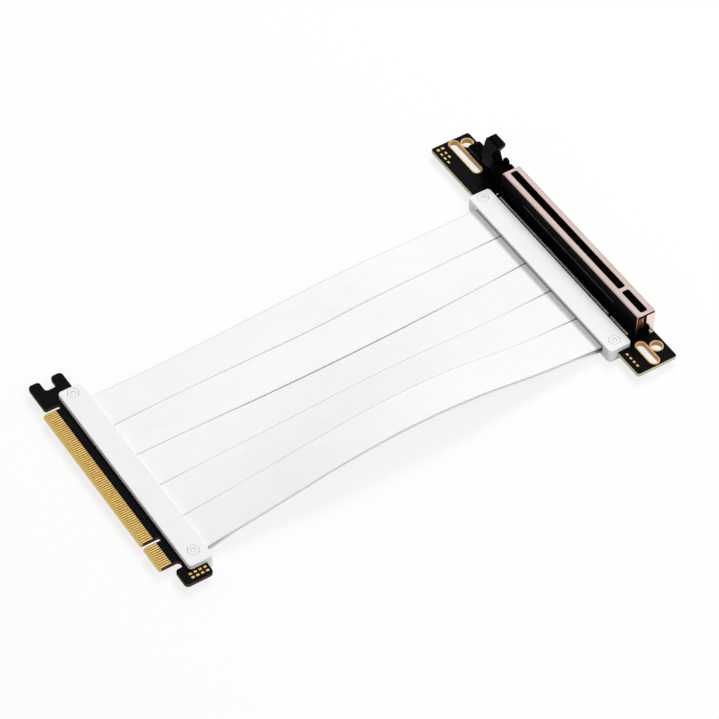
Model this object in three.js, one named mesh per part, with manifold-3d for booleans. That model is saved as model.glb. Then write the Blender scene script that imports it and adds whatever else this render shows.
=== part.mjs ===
// A flat-ribbon riser: a card-edge plug board and a slot board, joined by ten white ribbon strips.
// Millimetres, +Z up. +X runs from the plug to the slot, +Y towards the hook and the slot's latch.
// Every outline is written in the frame of the slot: its middle is x = 0, y = 0, and z = 0 is
// the top face of both boards. The group then moves the whole to the middle of its footprint.
import * as THREE from "three";
import { mergeVertices } from "three/addons/utils/BufferGeometryUtils.js";
import Module from "manifold-3d";

const wasm = await Module();
wasm.setup();

// Clearances
const SEAT = 0.15; // between a piece and what it is clamped to
const RUNNING = 0.1; // round a pivot
const SIDE_PLAY = 0.3; // beside the latch lever

// Boards
const BOARD_T = 1.6;
const SLOT_BOARD_W = 18.1;
const SLOT_BOARD_LOWER = 15.9; // board beyond the housing, at the shield's open end
const SLOT_BOARD_UPPER = 35.6; // and beyond the latch's end
const BOARD_CORNER = 1;

// Card edge
const PITCH = 1;
const SHORT_CONTACTS = 11;
const LONG_CONTACTS = 71;
const EDGE_MARGIN = 0.2; // tongue beyond its contacts' pitches, both ends together
const KEY_NOTCH = 1.9;
const TONGUE_DEPTH = 7.9;
const EDGE_BEVEL = 1;
const EDGE_BEVEL_DEPTH = 0.4;
const PLUG_KEY_Y = -32; // the key notch's middle
const PLUG_BOARD_W = 16.2;

// Hook tab beyond the long tongue, and the plain tab beyond the short one
const HOOK_GAP = 2;
const HOOK_SETBACK = 1.9;
const HOOK_LENGTH = 13.4;
const HOOK_PRONG = 4.8;
const HOOK_MOUTH = 4.7;
const HOOK_MOUTH_DEPTH = 5.4;
const TAB_GAP = 3.2;
const TAB_SETBACK = 4.7;
const TAB_LENGTH = 8;
const TAB_CORNER = 1.5;

// Slot: housing, keyed groove and folded shield
const HOUSING_END = 2.1; // housing beyond the groove, at each end
const HOUSING_TOP = 10.85;
const GROOVE_W = 1.9;
const GROOVE_DEPTH = 8.6;
const GROOVE_PLAY = 0.45; // cavity longer than its tongue
const KEY_RIB = 1.5;
const POCKET_W = 0.62;
const POCKET_DEPTH = 1.05;
const POCKET_Z = [2.6, 9.5];
const CONTACT_W = 0.4;
const CONTACT_ROOT = 0.8; // height of the spring's root in its pocket
const CONTACT_Z = 7.8; // where the spring touches the card
const CONTACT_PROUD = 0.22; // how far it stands into the groove
const CONTACT_TIP = 9.2;
const LEAD_IN = 0.45;
const LEAD_IN_DEPTH = 0.9;
const SHIELD_T = 0.35;
const SHIELD_W = 8.2;
const SHIELD_END = 0.3; // shield beyond the housing, at each end
const SHIELD_BEND = 0.6;
const SHIELD_FOOT = 0.4;
const WINDOW_W = 3.3;
const WINDOW_CORNER = 0.8;
const WINDOW_MARGIN = 1.1; // window beyond the groove's ends
const WINDOW_BRIDGE = 1.7;
const FLAP_W = 4;
const FLAP_TOE = 2.2; // flap's width at the board
const FLAP_GAP = 0.6;

// Latch bracket and lever
const PIVOT_OUT = 6; // pivot from the housing's end
const PIVOT_Z = 4.5;
const PIVOT_R = 1;
const BRACKET_WALL = 1.1;
const BRACKET_FLOOR = 1.2;
const BRACKET_TOP = 7.6;
const INNER_LUG = 8.4; // lug heights, by the shield and at the open end
const OUTER_LUG = 9.4;
const LUG_W = 3;
const LUG_GAP = 0.7;
const LEVER_W = 4.4;
const LEVER_TOP = 18;
const LEVER_UNDER = 1.9; // below the pivot
const NOSE_OUT = 8; // hook's nose from the housing's end
const NOSE_H = 2;
const HEAD_L = 6.9;
const NECK_OUT = 11.1;
const NECK_Z = 11.3;
const HEAD_GROOVE_W = 0.5;
const HEAD_GROOVE_X = -1.15;
const HEAD_GROOVE_DEPTH = 0.9;
const THUMB_W = 5.6;
const THUMB_T = 1.4;
const THUMB_OUT = [17.6, 26.1]; // thumb pad from the housing's end
const THUMB_RIDGES = 4;
const RIDGE_H = 0.3;

// Covers that clamp the ribbon to each board
const COVER_W = 10;
const COVER_OVER_EDGE = 3.75; // slot cover's mouth beyond the board's edge
const PLUG_COVER_OVER_EDGE = 2.9;
const SLOT_COVER_ENDS = [2.8, 3.9]; // cover beyond the housing, lower and upper end
const PLUG_COVER_ENDS = [6.15, 5.25]; // cover beyond the tongues
const SLOT_SCREW_INSET = [4.4, 3.3]; // screws from the cover's ends
const PLUG_SCREW_INSET = [5.9, 3.1];
const PLUG_RIBBON_SHIFT = 1.1; // ribbon's middle from the tongues' middle
const COVER_TOP = 2.3; // above the board
const COVER_BOTTOM = 2.4; // below the board
const COVER_CORNER = 1.4;
const COVER_EDGE = 0.3;

// Screws and nuts
const SCREW_R = 0.95;
const SCREW_HOLE_R = 1.15;
const HEAD_R = 1.85;
const HEAD_H = 1.2;
const NUT_FLATS = 4;
const NUT_H = 0.95;
const NUT_PLAY = 0.15;

// Mounting holes and slots in the slot board, with their plated pads
const HOLE_R = 2.2;
const HOLE_X = 0.2;
const MOUNT_SLOT_W = 3.6;
const MOUNT_SLOT_X = -4.8;
const PAD_RING = 0.55;
const PAD_T = 0.1;
const LINER = 0.2;
// Places from the board's end: the hole's middle and the slot's near and far end
const UPPER_HOLE_IN = 4.9;
const UPPER_SLOT_IN = [1.1, 21];
const LOWER_HOLE_IN = 7.9;
const LOWER_SLOT_IN = [1, 12.8];

// Ribbon
const STRIPS = 5;
const SLOT_SLIT = 0.7; // between strips, at each end
const PLUG_SLIT = 0.35;
const STRIP_T = 0.75;
const STRIP_STEPS = 12;
const STRIP_IN = 0.8; // strip's end past the board's edge, onto its solder pads
const STRIP_EDGE = 0.2;
const STRIP_CROWN = 0.03;
const RIBBON_SPAN = 176.35; // between the two covers' mouths
const LAYER_STEP = 1.15; // upper to lower layer, away from the boards
const LAYER_EASE = 16; // length over which the layers come together
// Height of the upper layer's six edge lines at seven even stations from plug to slot,
// the first line being the ribbon's edge on the hook's side.
const EDGE_HEIGHTS = [
  [0.9, 0.4, 1.1, 2.0, 2.5, 1.2, 0.9],
  [0.9, 1.3, 0.7, 0.2, 1.2, 1.0, 0.9],
  [0.9, 0.1, -1.1, -1.6, -1.4, -0.6, 0.9],
  [0.9, 1.6, 2.4, 3.1, 2.6, 0.9, 0.9],
  [0.9, 3.5, 7.1, 9.3, 8.1, 3.2, 0.9],
  [0.9, 5.0, 9.5, 11.4, 9.6, 4.5, 0.9],
];
// How far one strip's edge stands above the next at each slit, midway
const SLIT_STEPS = [0.4, 0.7, 0.1, 0.1];

// Derived places
const shortTongue = SHORT_CONTACTS * PITCH + EDGE_MARGIN;
const longTongue = LONG_CONTACTS * PITCH + EDGE_MARGIN;
const tongues = shortTongue + KEY_NOTCH + longTongue;
const plugLongEnd = PLUG_KEY_Y + KEY_NOTCH / 2 + longTongue;
const plugShortEnd = plugLongEnd - tongues;
const grooveLength = shortTongue + longTongue + 2 * GROOVE_PLAY + KEY_RIB;
const slotKeyY = -grooveLength / 2 + shortTongue + GROOVE_PLAY + KEY_RIB / 2;
const housingEnd = grooveLength / 2 + HOUSING_END;
const farEdge = SHIELD_W / 2;
const nearEdge = farEdge - SLOT_BOARD_W;
const boardLower = -housingEnd - SLOT_BOARD_LOWER;
const boardUpper = housingEnd + SLOT_BOARD_UPPER;
const floorZ = -BOARD_T - COVER_BOTTOM;
const STRIP_W = (tongues - (STRIPS - 1) * SLOT_SLIT) / STRIPS;

const mounts = [
  {
    name: "mount_pad_upper",
    holeY: boardUpper - UPPER_HOLE_IN,
    slotY: [boardUpper - UPPER_SLOT_IN[1], boardUpper - UPPER_SLOT_IN[0]],
  },
  {
    name: "mount_pad_lower",
    holeY: boardLower + LOWER_HOLE_IN,
    slotY: [boardLower + LOWER_SLOT_IN[0], boardLower + LOWER_SLOT_IN[1]],
  },
];

const slotMouth = nearEdge - COVER_OVER_EDGE;
const plugMouth = slotMouth - RIBBON_SPAN;
const slotEnd = {
  name: "slot",
  towardsRibbon: -1,
  boardEdge: nearEdge,
  mouth: slotMouth,
  coverY: [-housingEnd - SLOT_COVER_ENDS[0], housingEnd + SLOT_COVER_ENDS[1]],
  screwInset: SLOT_SCREW_INSET,
  ribbonY: 0,
  slit: SLOT_SLIT,
};
const plugEnd = {
  name: "plug",
  towardsRibbon: 1,
  boardEdge: plugMouth - PLUG_COVER_OVER_EDGE,
  mouth: plugMouth,
  coverY: [plugShortEnd - PLUG_COVER_ENDS[0], plugLongEnd + PLUG_COVER_ENDS[1]],
  screwInset: PLUG_SCREW_INSET,
  ribbonY: (plugLongEnd + plugShortEnd) / 2 - PLUG_RIBBON_SHIFT,
  slit: PLUG_SLIT,
};
const plugEdge = plugEnd.boardEdge - PLUG_BOARD_W;

const paint = (color, roughness, metalness = 0) =>
  new THREE.MeshStandardMaterial({ color, roughness, metalness });
const maskBlack = () => paint(0x0d0d10, 0.4);
const blackNylon = () => paint(0x1b1b1d, 0.5);
const whiteNylon = () => paint(0xf1f1f2, 0.45);
const whiteFilm = () => paint(0xf5f5f6, 0.35);
const nickel = () => paint(0xe3cbc6, 0.22, 1);
const gold = () => paint(0xe0a83c, 0.3, 1);

// Solids
function toSolid(geometry) {
  geometry.deleteAttribute("normal");
  geometry.deleteAttribute("uv");
  const merged = mergeVertices(geometry, 1e-4);
  const mesh = new wasm.Mesh({
    numProp: 3,
    vertProperties: merged.attributes.position.array,
    triVerts: new Uint32Array(merged.index.array),
  });
  return new wasm.Manifold(mesh);
}

function toGeometry(solid) {
  const { vertProperties, triVerts } = solid.getMesh();
  const geometry = new THREE.BufferGeometry();
  geometry.setAttribute("position", new THREE.BufferAttribute(vertProperties, 3));
  geometry.setIndex(new THREE.BufferAttribute(triVerts, 1));
  geometry.computeVertexNormals();
  return geometry;
}

const cut = (first, ...tools) => tools.reduce((whole, tool) => whole.subtract(tool), first);

// Solids joined two by two, halves first, which keeps long rows quick
function join(...solids) {
  if (solids.length === 1) return solids[0];
  const middle = Math.ceil(solids.length / 2);
  return join(...solids.slice(0, middle)).add(join(...solids.slice(middle)));
}

// Outlines
function arc(x, y, r, from, to, steps) {
  return Array.from({ length: steps + 1 }, (_, i) => {
    const a = from + ((to - from) * i) / steps;
    return new THREE.Vector2(x + r * Math.cos(a), y + r * Math.sin(a));
  });
}

function circle(x, y, r, steps = 16) {
  return arc(x, y, r, 0, 2 * Math.PI, steps).slice(0, -1);
}

// A closed outline from corners [x, y, radius], with each corner rounded by its radius.
function rounded(corners, steps = 4) {
  const points = corners.map(([x, y]) => new THREE.Vector2(x, y));
  return corners.flatMap(([, , r], i) => {
    const at = points[i];
    if (!r) return [at];
    const back = points.at(i - 1).clone().sub(at).normalize();
    const on = points[(i + 1) % points.length].clone().sub(at).normalize();
    const half = Math.acos(back.dot(on)) / 2;
    const centre = back.clone().add(on).normalize();
    centre.multiplyScalar(r / Math.sin(half)).add(at);
    const run = r / Math.tan(half);
    const start = back.multiplyScalar(run).add(at).sub(centre).angle();
    const end = on.multiplyScalar(run).add(at).sub(centre).angle();
    const turn = THREE.MathUtils.euclideanModulo(end - start + Math.PI, 2 * Math.PI) - Math.PI;
    return arc(centre.x, centre.y, r, start, start + turn, steps);
  });
}

const rectangle = (x0, x1, y0, y1, r = 0, steps = 4) =>
  rounded([[x0, y0, r], [x1, y0, r], [x1, y1, r], [x0, y1, r]], steps);

// A slot along Y, w wide, that spans y0 to y1 from end to end.
function stadium(x, y0, y1, w, steps = 8) {
  const r = w / 2;
  const top = arc(x, y1 - r, r, 0, Math.PI, steps);
  return [...top, ...arc(x, y0 + r, r, Math.PI, 2 * Math.PI, steps)];
}

function hexagon(x, y, flats) {
  return circle(x, y, flats / Math.sqrt(3), 6);
}

function extrusion(outline, depth, holes = [], bevel = 0) {
  const shape = new THREE.Shape(outline);
  shape.holes = holes.map((hole) => new THREE.Path(hole));
  return new THREE.ExtrudeGeometry(shape, {
    depth: depth - 2 * bevel,
    bevelEnabled: bevel > 0,
    bevelSize: bevel,
    bevelOffset: -bevel,
    bevelThickness: bevel,
    bevelSegments: 2,
  }).translate(0, 0, bevel);
}

const axes = (x, y, z) =>
  new THREE.Matrix4().makeBasis(new THREE.Vector3(...x), new THREE.Vector3(...y), new THREE.Vector3(...z));

function plate(outline, z0, z1, holes, bevel) {
  return toSolid(extrusion(outline, z1 - z0, holes, bevel).translate(0, 0, z0));
}

// An outline in Y and Z, run along X.
function alongX(outline, x0, x1) {
  const geometry = extrusion(outline, x1 - x0).applyMatrix4(axes([0, 1, 0], [0, 0, 1], [1, 0, 0]));
  return toSolid(geometry.translate(x0, 0, 0));
}

// An outline in X and Z, run along Y.
function alongY(outline, y0, y1) {
  const geometry = extrusion(outline, y1 - y0).applyMatrix4(axes([1, 0, 0], [0, 0, 1], [0, -1, 0]));
  return toSolid(geometry.translate(0, y1, 0));
}

function block([x0, x1], [y0, y1], [z0, z1]) {
  return plate(rectangle(Math.min(x0, x1), Math.max(x0, x1), y0, y1), z0, z1);
}

// Screw places of one end: the two fastener columns through covers and board
function screwPlaces(end) {
  const x = end.mouth - end.towardsRibbon * (COVER_W / 2);
  const [low, high] = end.coverY;
  return [
    { name: "lower", x, y: low + end.screwInset[0] },
    { name: "upper", x, y: high - end.screwInset[1] },
  ];
}

// Plug board: keyed tongues, hook tab and plain tab in one outline
function plugOutline() {
  const root = plugEdge + TONGUE_DEPTH;
  const right = plugEnd.boardEdge;
  const hookStart = plugLongEnd + HOOK_GAP;
  const hookTip = hookStart + HOOK_LENGTH;
  const hookLeft = plugEdge + HOOK_SETBACK;
  const mouthLeft = hookLeft + HOOK_PRONG;
  const mouthRight = mouthLeft + HOOK_MOUTH;
  const mouthFloor = hookTip - HOOK_MOUTH_DEPTH;
  const tabTop = plugShortEnd - TAB_GAP;
  const tabLeft = plugEdge + TAB_SETBACK;
  const tabEnd = tabTop - TAB_LENGTH;
  const slotR = 0.95 * (HOOK_GAP / 2);
  const keyR = 0.95 * (KEY_NOTCH / 2);
  return rounded([
    [right, tabEnd, TAB_CORNER],
    [right, hookTip, TAB_CORNER],
    [mouthRight, hookTip, TAB_CORNER],
    [mouthRight, mouthFloor, 1.2],
    [mouthLeft, mouthFloor, 1.2],
    [mouthLeft, hookTip, 1.2],
    [hookLeft, hookTip, TAB_CORNER],
    [hookLeft, hookStart, 0.8],
    [root, hookStart, slotR],
    [root, plugLongEnd, slotR],
    [plugEdge, plugLongEnd, 0.5],
    [plugEdge, PLUG_KEY_Y + KEY_NOTCH / 2, 0.4],
    [root, PLUG_KEY_Y + KEY_NOTCH / 2, keyR],
    [root, PLUG_KEY_Y - KEY_NOTCH / 2, keyR],
    [plugEdge, PLUG_KEY_Y - KEY_NOTCH / 2, 0.4],
    [plugEdge, plugShortEnd, 0.5],
    [root + 0.4, plugShortEnd, 1.2],
    [root + 0.4, tabTop, 1.2],
    [tabLeft, tabTop, 1.2],
    [tabLeft, tabEnd, TAB_CORNER],
  ], 3);
}

function plugBoard() {
  const holes = screwPlaces(plugEnd).map(({ x, y }) => circle(x, y, SCREW_HOLE_R, 12));
  const board = plate(plugOutline(), -BOARD_T, 0, holes);
  const long = [PLUG_KEY_Y - KEY_NOTCH - shortTongue, PLUG_KEY_Y + KEY_NOTCH + longTongue];
  const wedge = (z, inwards) => [
    new THREE.Vector2(plugEdge - 1, z + inwards * EDGE_BEVEL_DEPTH * (1 + 1 / EDGE_BEVEL)),
    new THREE.Vector2(plugEdge - 1, z - inwards),
    new THREE.Vector2(plugEdge + EDGE_BEVEL * (1 + 1 / EDGE_BEVEL_DEPTH), z - inwards),
  ];
  const upper = alongY(wedge(0, -1), ...long);
  const lower = alongY(wedge(-BOARD_T, 1).reverse(), ...long);
  return cut(board, upper, lower);
}

// Slot board with its mounting holes, mounting slots and the bites round the clamp screws
function slotBoard() {
  const grown = LINER + SEAT;
  const holes = mounts.flatMap(({ holeY, slotY: [y0, y1] }) => [
    circle(HOLE_X, holeY, HOLE_R + grown),
    stadium(MOUNT_SLOT_X, y0 - grown, y1 + grown, MOUNT_SLOT_W + 2 * grown),
  ]);
  const outline = rectangle(nearEdge, farEdge, boardLower, boardUpper, BOARD_CORNER);
  const board = plate(outline, -BOARD_T, 0, holes);
  const bites = screwPlaces(slotEnd).map(({ x, y }) => {
    const bite = rectangle(nearEdge - 1, x + SCREW_HOLE_R, y - SCREW_HOLE_R, y + SCREW_HOLE_R, SCREW_HOLE_R * 0.95);
    return plate(bite, -BOARD_T - 1, 1);
  });
  return cut(board, ...bites);
}

// A plated pad: a flat ring round a mounting hole and its slot, with a liner down each of them
function mountPad({ holeY, slotY: [y0, y1] }) {
  const ring = (grow) => [
    circle(HOLE_X, holeY, HOLE_R + grow),
    stadium(MOUNT_SLOT_X, y0 - grow, y1 + grow, MOUNT_SLOT_W + 2 * grow),
  ];
  const bore = ring(0).map((outline) => plate(outline, -BOARD_T - 1, 1));
  const faces = [
    [SEAT, SEAT + PAD_T],
    [-BOARD_T - SEAT - PAD_T, -BOARD_T - SEAT],
  ].flatMap(([z0, z1]) => ring(PAD_RING).map((outline) => plate(outline, z0, z1)));
  const liners = ring(LINER).map((outline) => plate(outline, -BOARD_T - SEAT - PAD_T, SEAT + PAD_T));
  return cut(join(...faces, ...liners), ...bore);
}

// Slot housing: a block with a keyed groove, and the latch's bracket on its end
function grooveCavity([y0, y1]) {
  const half = GROOVE_W / 2;
  const top = HOUSING_TOP;
  const profile = [
    [-half, top - GROOVE_DEPTH],
    [half, top - GROOVE_DEPTH],
    [half, top - LEAD_IN_DEPTH],
    [half + LEAD_IN, top],
    [half + LEAD_IN, top + 1],
    [-half - LEAD_IN, top + 1],
    [-half - LEAD_IN, top],
    [-half, top - LEAD_IN_DEPTH],
  ].map(([x, z]) => new THREE.Vector2(x, z));
  return alongY(profile, y0, y1);
}

const longCavity = [slotKeyY + KEY_RIB / 2, grooveLength / 2];
const shortCavity = [-grooveLength / 2, slotKeyY - KEY_RIB / 2];
const housingHalf = SHIELD_W / 2 - SHIELD_T - SEAT;
const bracketHalf = LEVER_W / 2 + SIDE_PLAY + BRACKET_WALL;
const pivotY = housingEnd + PIVOT_OUT;
const bracketEnd = pivotY + LUG_GAP / 2 + LUG_W;

function bracketSide() {
  const start = housingEnd + SHIELD_END + SIDE_PLAY;
  const lugR = 0.46 * LUG_W;
  const gapStart = bracketEnd - LUG_W - LUG_GAP;
  return rounded([
    [start, SEAT],
    [bracketEnd, SEAT, lugR / 3],
    [bracketEnd, OUTER_LUG, lugR],
    [bracketEnd - LUG_W, OUTER_LUG, lugR],
    [bracketEnd - LUG_W, BRACKET_TOP],
    [gapStart, BRACKET_TOP],
    [gapStart, INNER_LUG, lugR / 2],
    [gapStart - LUG_W, INNER_LUG, lugR / 2],
    [gapStart - LUG_W, BRACKET_TOP],
    [start, BRACKET_TOP],
  ]);
}

// Middles of evenly pitched contacts along a span of Y
function contactPlaces([y0, y1], count) {
  const first = (y0 + y1) / 2 - ((count - 1) * PITCH) / 2;
  return Array.from({ length: count }, (_, i) => first + i * PITCH);
}

const slotContacts = [...contactPlaces(longCavity, LONG_CONTACTS), ...contactPlaces(shortCavity, SHORT_CONTACTS)];

// A contact spring's side view: rooted low in its pocket, bowed into the groove, its tip let back
function springSide(side) {
  const wall = GROOVE_W / 2;
  const back = wall + POCKET_DEPTH + SEAT;
  const root = POCKET_Z[0] - SEAT;
  const points = [
    [back, root],
    [back, POCKET_Z[0] + CONTACT_ROOT],
    [wall + SEAT, CONTACT_TIP],
    [wall - CONTACT_PROUD, CONTACT_Z],
    [back - 2 * SEAT, root],
  ];
  return points.map(([x, z]) => new THREE.Vector2(side * x, z));
}

function contactPockets() {
  const wall = GROOVE_W / 2;
  const deep = wall + POCKET_DEPTH;
  const pockets = slotContacts.map((y) => block([-deep, deep], [y - POCKET_W / 2, y + POCKET_W / 2], POCKET_Z));
  return join(...pockets);
}

function contactSprings() {
  const row = (y, side) => alongY(springSide(side), y - CONTACT_W / 2, y + CONTACT_W / 2);
  return join(...slotContacts.flatMap((y) => [row(y, -1), row(y, 1)]));
}

function slotHousing() {
  const y0 = housingEnd + SHIELD_END + SIDE_PLAY;
  const rim = block([-housingHalf, housingHalf], [-housingEnd, housingEnd], [SEAT, HOUSING_TOP]);
  const neck = block([-housingHalf, housingHalf], [housingEnd - 1, y0 + 0.5], [SEAT, BRACKET_TOP]);
  const bracket = alongX(bracketSide(), -bracketHalf, bracketHalf);
  const between = LEVER_W / 2 + SIDE_PLAY;
  const throat = block([-between, between], [y0 + 0.5, bracketEnd + 1], [BRACKET_FLOOR, LEVER_TOP]);
  const bearing = alongX(circle(pivotY, PIVOT_Z, PIVOT_R + RUNNING, 16), -bracketHalf - 1, bracketHalf + 1);
  const body = cut(join(rim, neck, bracket), throat, bearing, grooveCavity(longCavity), grooveCavity(shortCavity));
  return join(cut(body, contactPockets()), contactSprings());
}

// Shield: sheet folded over the housing, with a window on each half of the groove
function slotShield() {
  const half = SHIELD_W / 2;
  const top = HOUSING_TOP + SEAT + SHIELD_T;
  const inner = half - SHIELD_T;
  const profile = rounded([
    [-half, SHIELD_FOOT],
    [-inner, SHIELD_FOOT],
    [-inner, top - SHIELD_T, SHIELD_BEND - SHIELD_T],
    [inner, top - SHIELD_T, SHIELD_BEND - SHIELD_T],
    [inner, SHIELD_FOOT],
    [half, SHIELD_FOOT],
    [half, top, SHIELD_BEND],
    [-half, top, SHIELD_BEND],
  ], 3);
  const end = housingEnd + SHIELD_END;
  const flapY = -end - SHIELD_T;
  const flapTop = top - SHIELD_T - FLAP_GAP;
  const flap = rounded([
    [half - FLAP_TOE, SHIELD_FOOT, 0.6],
    [half, SHIELD_FOOT],
    [half, flapTop],
    [half - FLAP_W, flapTop, 0.4],
    [half - FLAP_W, flapTop * 0.62, 1],
    [half - FLAP_TOE, flapTop * 0.4, 1],
  ], 3);
  const fold = join(
    alongY(profile, -end, end),
    alongY(flap, flapY, -end),
    block([inner, half], [flapY, -end + 1], [SHIELD_FOOT, flapTop]),
  );
  const reach = grooveLength / 2 + WINDOW_MARGIN;
  const windows = [
    [-reach, slotKeyY - WINDOW_BRIDGE / 2],
    [slotKeyY + WINDOW_BRIDGE / 2, reach],
  ].map(([y0, y1]) => {
    const outline = rectangle(-WINDOW_W / 2, WINDOW_W / 2, y0, y1, WINDOW_CORNER, 3);
    return plate(outline, top - SHIELD_T - 0.5, top + 1);
  });
  return cut(fold, ...windows);
}

// Latch lever: hooked arm, thumb pad and the two trunnions that it turns on
function latchLever() {
  const y = (out) => housingEnd + out;
  const under = PIVOT_Z - LEVER_UNDER;
  const thumbTop = under + THUMB_T;
  const [thumbStart, thumbEnd] = THUMB_OUT.map(y);
  const round = LEVER_UNDER * 0.7;
  const arm = rounded([
    [pivotY - round, under + SEAT, round * 0.9],
    [pivotY + 2 * round, under + SEAT],
    [thumbStart + THUMB_T, under],
    [thumbStart + THUMB_T, thumbTop],
    [thumbStart, thumbTop + THUMB_T, 1],
    [y(NOSE_OUT + HEAD_L) + 1, (LEVER_TOP + NECK_Z) / 2, 2],
    [y(NOSE_OUT + HEAD_L), LEVER_TOP, 0.4],
    [y(NOSE_OUT), LEVER_TOP, 0.4],
    [y(NOSE_OUT) + 0.4, LEVER_TOP - NOSE_H, 0.5],
    [y(NECK_OUT), NECK_Z, 1],
    [pivotY + 2 * round, PIVOT_Z + 2 * round, 1],
    [pivotY + round, PIVOT_Z + round],
    [pivotY - round, PIVOT_Z + round, round * 0.9],
  ], 3);
  const body = alongX(arm, -LEVER_W / 2, LEVER_W / 2);
  const groove = block(
    [HEAD_GROOVE_X - HEAD_GROOVE_W / 2, HEAD_GROOVE_X + HEAD_GROOVE_W / 2],
    [y(NOSE_OUT) - 1, y(NOSE_OUT + HEAD_L) + 1],
    [LEVER_TOP - HEAD_GROOVE_DEPTH, LEVER_TOP + 1],
  );
  const thumb = plate(rectangle(-THUMB_W / 2, THUMB_W / 2, thumbStart, thumbEnd, 0.8, 3), under, thumbTop);
  const pitch = (thumbEnd - thumbStart - THUMB_T) / (THUMB_RIDGES + 1);
  const ridges = Array.from({ length: THUMB_RIDGES }, (_, i) => {
    const middle = thumbEnd - (i + 1) * pitch;
    const across = [-THUMB_W / 2 + RIDGE_H, THUMB_W / 2 - RIDGE_H];
    return block(across, [middle - RIDGE_H, middle + RIDGE_H], [thumbTop - RIDGE_H, thumbTop + RIDGE_H]);
  });
  const trunnions = alongX(circle(pivotY, PIVOT_Z, PIVOT_R, 16), -bracketHalf + SEAT, bracketHalf - SEAT);
  return cut(join(body, thumb, ...ridges, trunnions), groove);
}

// Covers
const stripPitch = (end) => STRIP_W + end.slit;

function ribbonHalf(end) {
  return (STRIPS * stripPitch(end) - end.slit) / 2;
}

// The space that the board and the ribbon's mouth take out of both covers of one end
function clampedSpace(end, up) {
  const out = end.towardsRibbon;
  const inside = end.mouth - out * (COVER_W + 1);
  const half = ribbonHalf(end) + SIDE_PLAY;
  const deep = end.boardEdge - out * (STRIP_IN + SIDE_PLAY);
  const boardZ = up ? [-BOARD_T / 2 - 1, SEAT] : [-BOARD_T - SEAT, -BOARD_T / 2 + 1];
  const reach = SEAT + STRIP_T + SEAT;
  const mouthZ = up ? [-BOARD_T / 2 - 1, reach] : [-BOARD_T - reach, -BOARD_T / 2 + 1];
  const boardX = [inside, end.boardEdge + out * SEAT].sort((a, b) => a - b);
  const mouthX = [deep, end.mouth + out].sort((a, b) => a - b);
  return [
    block(boardX, [end.coverY[0] - 1, end.coverY[1] + 1], boardZ),
    block(mouthX, [end.ribbonY - half, end.ribbonY + half], mouthZ),
  ];
}

function cover(end, up) {
  const parting = -BOARD_T / 2;
  const [z0, z1] = up ? [parting + SEAT / 2, COVER_TOP] : [floorZ, parting - SEAT / 2];
  const [x0, x1] = [end.mouth, end.mouth - end.towardsRibbon * COVER_W].sort((a, b) => a - b);
  const outline = rectangle(x0, x1, ...end.coverY, COVER_CORNER);
  const places = screwPlaces(end);
  const seats = places.map(({ x, y }) =>
    up
      ? plate(hexagon(x, y, NUT_FLATS + 2 * NUT_PLAY), COVER_TOP - NUT_H, COVER_TOP + 1)
      : plate(circle(x, y, HEAD_R + NUT_PLAY, 16), floorZ - 1, floorZ + SEAT + HEAD_H + NUT_PLAY),
  );
  const shanks = places.map(({ x, y }) => plate(circle(x, y, SCREW_HOLE_R, 12), floorZ - 1, COVER_TOP + 1));
  return cut(plate(outline, z0, z1, [], COVER_EDGE), ...clampedSpace(end, up), ...seats, ...shanks);
}

function screw({ x, y }) {
  const head = floorZ + SEAT;
  const tip = COVER_TOP - SEAT / 2;
  const profile = [
    [0, head],
    [HEAD_R - 0.35, head],
    [HEAD_R, head + 0.35],
    [HEAD_R, head + HEAD_H],
    [SCREW_R, head + HEAD_H],
    [SCREW_R, tip - 0.2],
    [SCREW_R - 0.2, tip],
    [0, tip],
  ].map(([r, z]) => new THREE.Vector2(r, z));
  const geometry = new THREE.LatheGeometry(profile, 12).rotateX(Math.PI / 2);
  return toSolid(geometry.translate(x, y, 0));
}

function nut({ x, y }) {
  const bore = circle(x, y, SCREW_R + RUNNING, 12);
  const floor = COVER_TOP - NUT_H;
  return plate(hexagon(x, y, NUT_FLATS), floor + SEAT / 2, COVER_TOP, [bore]);
}

// Ribbon: a straight strip of rounded section, laid over the height of its two edge lines
const edgeLines = EDGE_HEIGHTS.map(
  (heights) => new THREE.CatmullRomCurve3(heights.map((z, i) => new THREE.Vector3(i, 0, z))),
);

// Height of one edge line at a share of the span, 0 at the plug's cover and 1 at the slot's
function edgeHeight(line, share, step) {
  const along = THREE.MathUtils.clamp(share, 0, 1);
  return edgeLines[line].getPoint(along).z + step * Math.sin(Math.PI * along);
}

// Drop from the upper layer to the lower one, wide at the boards and close between them
function layerDrop(x) {
  const atBoards = BOARD_T + 2 * SEAT + STRIP_T;
  const out = Math.min(x - plugEnd.mouth, slotEnd.mouth - x);
  return THREE.MathUtils.lerp(atBoards, LAYER_STEP, THREE.MathUtils.smoothstep(out, 0, LAYER_EASE));
}

function stripPoint(index, layer, x, across, up) {
  const share = (x - plugEnd.mouth) / RIBBON_SPAN;
  const along = THREE.MathUtils.clamp(share, 0, 1);
  const middle = (end) => end.ribbonY + (STRIPS - 1 - 2 * index) * (stripPitch(end) / 2);
  const y = THREE.MathUtils.lerp(middle(plugEnd), middle(slotEnd), along) + across;
  const hookSide = edgeHeight(index, share, -(SLIT_STEPS[index - 1] ?? 0) / 2);
  const tabSide = edgeHeight(index + 1, share, (SLIT_STEPS[index] ?? 0) / 2);
  const top = THREE.MathUtils.lerp(tabSide, hookSide, across / STRIP_W + 0.5);
  return [x, y, top - STRIP_T / 2 + up - layer * layerDrop(x)];
}

// Stations along a strip: its two ends, inside the covers, and even steps between the mouths
function stripStations() {
  const { mouth: from } = plugEnd;
  const steps = STRIP_STEPS - 2;
  const span = Array.from({ length: steps + 1 }, (_, i) => from + (RIBBON_SPAN * i) / steps);
  return [plugEnd.boardEdge - STRIP_IN, ...span, slotEnd.boardEdge + STRIP_IN];
}

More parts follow.
